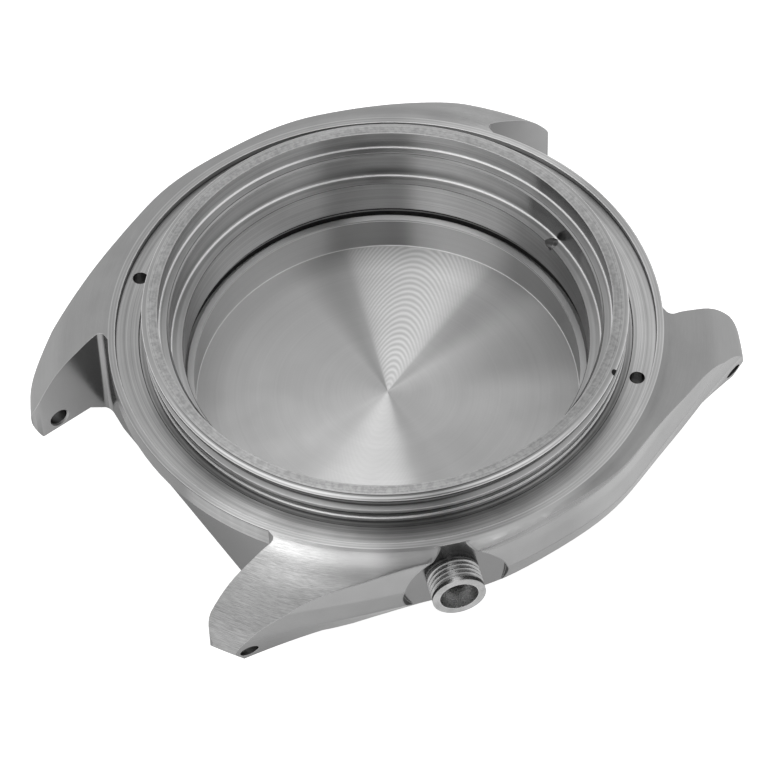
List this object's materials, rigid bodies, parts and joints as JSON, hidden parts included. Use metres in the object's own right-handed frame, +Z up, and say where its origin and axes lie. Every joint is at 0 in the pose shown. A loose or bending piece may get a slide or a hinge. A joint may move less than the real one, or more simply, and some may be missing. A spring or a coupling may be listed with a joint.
{
  "type": "empty watch case",
  "caption": "Round steel wristwatch case with drilled lugs, a raised crystal ring, a screwed back with its seal and a threaded crown tube, empty inside.",
  "frame": {"origin": "on the case axis, in the plane of the back's underside that the case rests on", "axes": "+Z up through the crystal opening, +Y to the 12 o'clock lugs, +X to 3 o'clock"},
  "size_m": [0.0412, 0.045, 0.0126],
  "materials": {
    "case_steel": "circular brushing on the top, polished flanks and lug gaps",
    "back_steel": "fine turning marks about the centre",
    "seal_rubber": "matt black",
    "tube_steel": "turned, slightly worn thread"
  },
  "bodies": {
    "middle": {"mid_case": "case_steel", "crown_tube": "tube_steel"},
    "seal": {"back_seal": "seal_rubber"},
    "back": {"case_back": "back_steel"}
  },
  "joints": [
    {"name": "back_travel", "type": "slide", "parent": "middle", "child": "seal", "axis": [0, 0, 1], "range_m": [-0.00421, 0]},
    {"name": "back_turn", "type": "hinge", "parent": "seal", "child": "back", "pos_m": [0, 0, 0], "axis": [0, 0, 1], "range_deg": [-2520, 0]}
  ],
  "couplings": [
    {"joint": "back_travel", "follows": "back_turn", "m_per_rad": 0.000095493}
  ]
}
